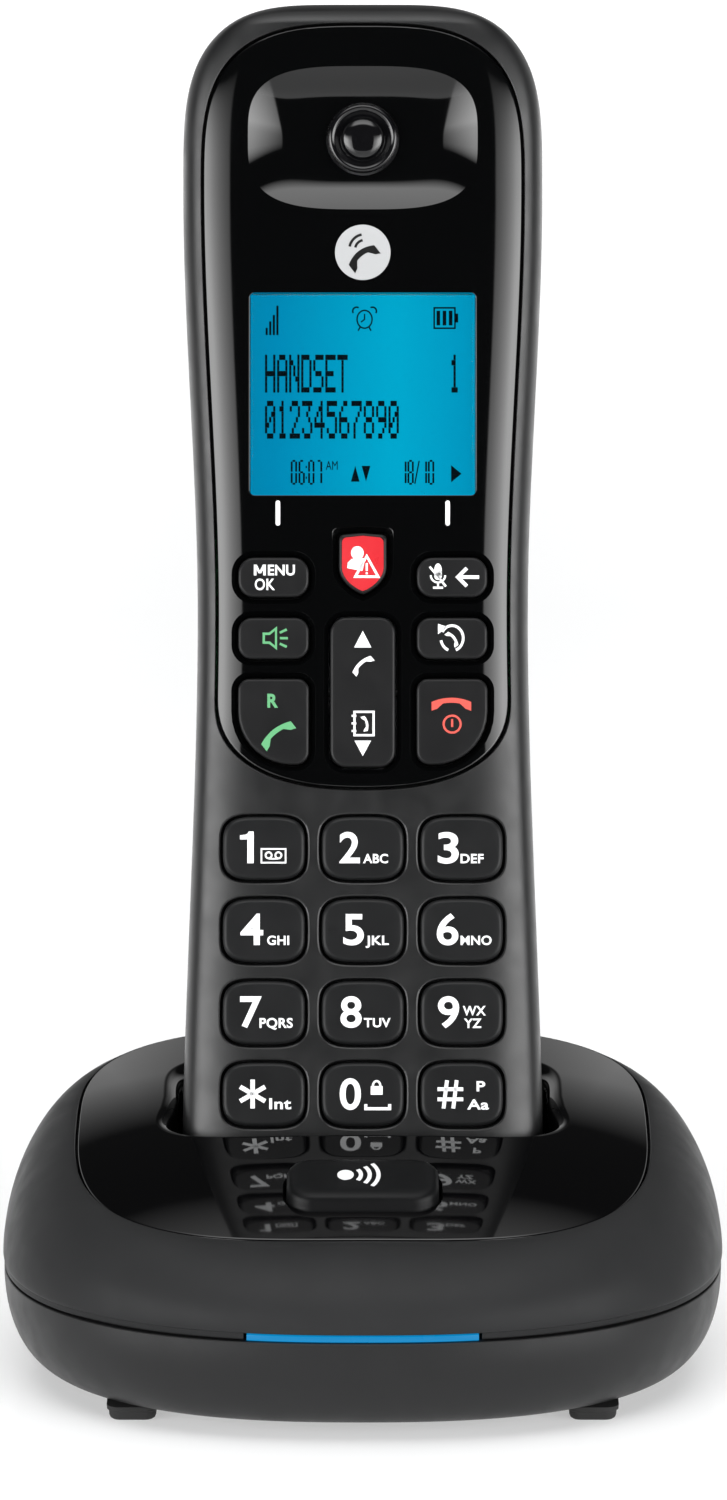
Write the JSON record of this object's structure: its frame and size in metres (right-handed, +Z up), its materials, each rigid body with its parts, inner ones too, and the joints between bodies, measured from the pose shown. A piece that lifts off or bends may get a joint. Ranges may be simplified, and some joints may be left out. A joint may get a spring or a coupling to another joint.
{
  "type": "cordless phone with base",
  "caption": "Slim cordless handset standing upright in a rounded desk charging base, with a backlit display, keypad, function keys and a locate button.",
  "frame": {"origin": "centre of the footprint on the resting surface, under the soles of the rubber feet", "axes": "+Z up, -Y towards the person facing the keypad, +X to their right"},
  "size_m": [0.1002, 0.1016, 0.1854],
  "materials": {
    "shell": "fine matte moulded plastic",
    "lower_shell": "fine matte moulded plastic",
    "case": "fine matte moulded plastic",
    "panel_gloss": "piano-black gloss",
    "fascia_gloss": "piano-black gloss",
    "light_strip": "blue translucent light pipe",
    "circuit_board": "green solder mask on laminate",
    "jack_plastic": "black moulded socket",
    "plated_contact": "nickel-plated spring strip",
    "switch_plastic": "black moulded switch body",
    "led_body": "clear moulded package",
    "foot_rubber": "soft non-slip rubber",
    "screw_steel": "zinc-plated self-tapping screw",
    "display_lens": "clear hard-coated window",
    "lcd_glass": "back-lit blue liquid crystal glass",
    "display_frame": "white moulded light guide holder",
    "earpiece_satin": "satin moulded ring",
    "transducer": "drawn metal can",
    "mat_rubber": "silicone keypad mat",
    "cell_sleeve": "shrink sleeve on a metal can",
    "battery_door": "fine matte moulded plastic",
    "locate_button": "satin moulded button",
    "number_key": "satin key cap",
    "function_key": "semi-gloss key cap",
    "call_block_key": "red semi-gloss key cap"
  },
  "bodies": {
    "base": {"base_top_shell": "shell", "base_bottom_shell": "lower_shell", "cradle_panel": "panel_gloss", "light_strip": "light_strip", "base_pcb": "circuit_board", "line_jack": "jack_plastic", "power_jack": "jack_plastic", "charge_contact_left": "plated_contact", "charge_contact_right": "plated_contact", "locate_switch": "switch_plastic", "strip_led": "led_body", "foot_front_left": "foot_rubber", "foot_front_right": "foot_rubber", "foot_rear_left": "foot_rubber", "foot_rear_right": "foot_rubber", "base_screw_left": "screw_steel", "base_screw_right": "screw_steel"},
    "handset": {"handset_front_case": "case", "handset_back_case": "case", "fascia": "fascia_gloss", "display_lens": "display_lens", "lcd_module": "lcd_glass", "lcd_frame": "display_frame", "earpiece_ring": "earpiece_satin", "earpiece_speaker": "transducer", "microphone": "transducer", "ringer_speaker": "transducer", "keypad_mat": "mat_rubber", "handset_pcb": "circuit_board", "battery_cell_left": "cell_sleeve", "battery_cell_right": "cell_sleeve", "battery_contact_lower": "plated_contact", "battery_contact_upper": "plated_contact", "handset_contact_left": "plated_contact", "handset_contact_right": "plated_contact", "handset_screw_left": "screw_steel", "handset_screw_right": "screw_steel"},
    "key_1": {"key_1": "number_key"},
    "key_2": {"key_2": "number_key"},
    "key_3": {"key_3": "number_key"},
    "key_4": {"key_4": "number_key"},
    "key_5": {"key_5": "number_key"},
    "key_6": {"key_6": "number_key"},
    "key_7": {"key_7": "number_key"},
    "key_8": {"key_8": "number_key"},
    "key_9": {"key_9": "number_key"},
    "key_star": {"key_star": "number_key"},
    "key_0": {"key_0": "number_key"},
    "key_hash": {"key_hash": "number_key"},
    "key_call_block": {"key_call_block": "call_block_key"},
    "key_menu_ok": {"key_menu_ok": "function_key"},
    "key_mute_back": {"key_mute_back": "function_key"},
    "key_speaker": {"key_speaker": "function_key"},
    "key_redial": {"key_redial": "function_key"},
    "key_talk": {"key_talk": "function_key"},
    "key_end": {"key_end": "function_key"},
    "key_navigator": {"key_navigator": "function_key"},
    "battery_door": {"battery_door": "battery_door"},
    "locate_button": {"locate_button": "locate_button"}
  },
  "joints": [
    {"name": "handset_lift", "type": "slide", "parent": "base", "child": "handset", "axis": [0, 0.2419, 0.9703], "range_m": [0, 0.06]},
    {"name": "key_1_press", "type": "slide", "parent": "handset", "child": "key_1", "axis": [0, 0.9703, -0.2419], "range_m": [0, 0.0008], "stiffness_N_per_m": 400},
    {"name": "key_2_press", "type": "slide", "parent": "handset", "child": "key_2", "axis": [0, 0.9703, -0.2419], "range_m": [0, 0.0008], "stiffness_N_per_m": 400},
    {"name": "key_3_press", "type": "slide", "parent": "handset", "child": "key_3", "axis": [0, 0.9703, -0.2419], "range_m": [0, 0.0008], "stiffness_N_per_m": 400},
    {"name": "key_4_press", "type": "slide", "parent": "handset", "child": "key_4", "axis": [0, 0.9703, -0.2419], "range_m": [0, 0.0008], "stiffness_N_per_m": 400},
    {"name": "key_5_press", "type": "slide", "parent": "handset", "child": "key_5", "axis": [0, 0.9703, -0.2419], "range_m": [0, 0.0008], "stiffness_N_per_m": 400},
    {"name": "key_6_press", "type": "slide", "parent": "handset", "child": "key_6", "axis": [0, 0.9703, -0.2419], "range_m": [0, 0.0008], "stiffness_N_per_m": 400},
    {"name": "key_7_press", "type": "slide", "parent": "handset", "child": "key_7", "axis": [0, 0.9703, -0.2419], "range_m": [0, 0.0008], "stiffness_N_per_m": 400},
    {"name": "key_8_press", "type": "slide", "parent": "handset", "child": "key_8", "axis": [0, 0.9703, -0.2419], "range_m": [0, 0.0008], "stiffness_N_per_m": 400},
    {"name": "key_9_press", "type": "slide", "parent": "handset", "child": "key_9", "axis": [0, 0.9703, -0.2419], "range_m": [0, 0.0008], "stiffness_N_per_m": 400},
    {"name": "key_star_press", "type": "slide", "parent": "handset", "child": "key_star", "axis": [0, 0.9703, -0.2419], "range_m": [0, 0.0008], "stiffness_N_per_m": 400},
    {"name": "key_0_press", "type": "slide", "parent": "handset", "child": "key_0", "axis": [0, 0.9703, -0.2419], "range_m": [0, 0.0008], "stiffness_N_per_m": 400},
    {"name": "key_hash_press", "type": "slide", "parent": "handset", "child": "key_hash", "axis": [0, 0.9703, -0.2419], "range_m": [0, 0.0008], "stiffness_N_per_m": 400},
    {"name": "key_call_block_press", "type": "slide", "parent": "handset", "child": "key_call_block", "axis": [0, 0.9703, -0.2419], "range_m": [0, 0.0008], "stiffness_N_per_m": 400},
    {"name": "key_menu_ok_press", "type": "slide", "parent": "handset", "child": "key_menu_ok", "axis": [0, 0.9703, -0.2419], "range_m": [0, 0.0008], "stiffness_N_per_m": 400},
    {"name": "key_mute_back_press", "type": "slide", "parent": "handset", "child": "key_mute_back", "axis": [0, 0.9703, -0.2419], "range_m": [0, 0.0008], "stiffness_N_per_m": 400},
    {"name": "key_speaker_press", "type": "slide", "parent": "handset", "child": "key_speaker", "axis": [0, 0.9703, -0.2419], "range_m": [0, 0.0008], "stiffness_N_per_m": 400},
    {"name": "key_redial_press", "type": "slide", "parent": "handset", "child": "key_redial", "axis": [0, 0.9703, -0.2419], "range_m": [0, 0.0008], "stiffness_N_per_m": 400},
    {"name": "key_talk_press", "type": "slide", "parent": "handset", "child": "key_talk", "axis": [0, 0.9703, -0.2419], "range_m": [0, 0.0008], "stiffness_N_per_m": 400},
    {"name": "key_end_press", "type": "slide", "parent": "handset", "child": "key_end", "axis": [0, 0.9703, -0.2419], "range_m": [0, 0.0008], "stiffness_N_per_m": 400},
    {"name": "navigator_rock", "type": "hinge", "parent": "handset", "child": "key_navigator", "pos_m": [0, 0.01074, 0.09216], "axis": [1, 0, 0], "range_deg": [-3.5, 3.5], "stiffness_Nm_per_rad": 0.03},
    {"name": "battery_door_open", "type": "hinge", "parent": "handset", "child": "battery_door", "pos_m": [0, 0.02495, 0.05244], "axis": [-1, 0, 0], "range_deg": [0, 75]},
    {"name": "locate_press", "type": "slide", "parent": "base", "child": "locate_button", "axis": [0, 0, -1], "range_m": [0, 0.0008], "stiffness_N_per_m": 500}
  ]
}
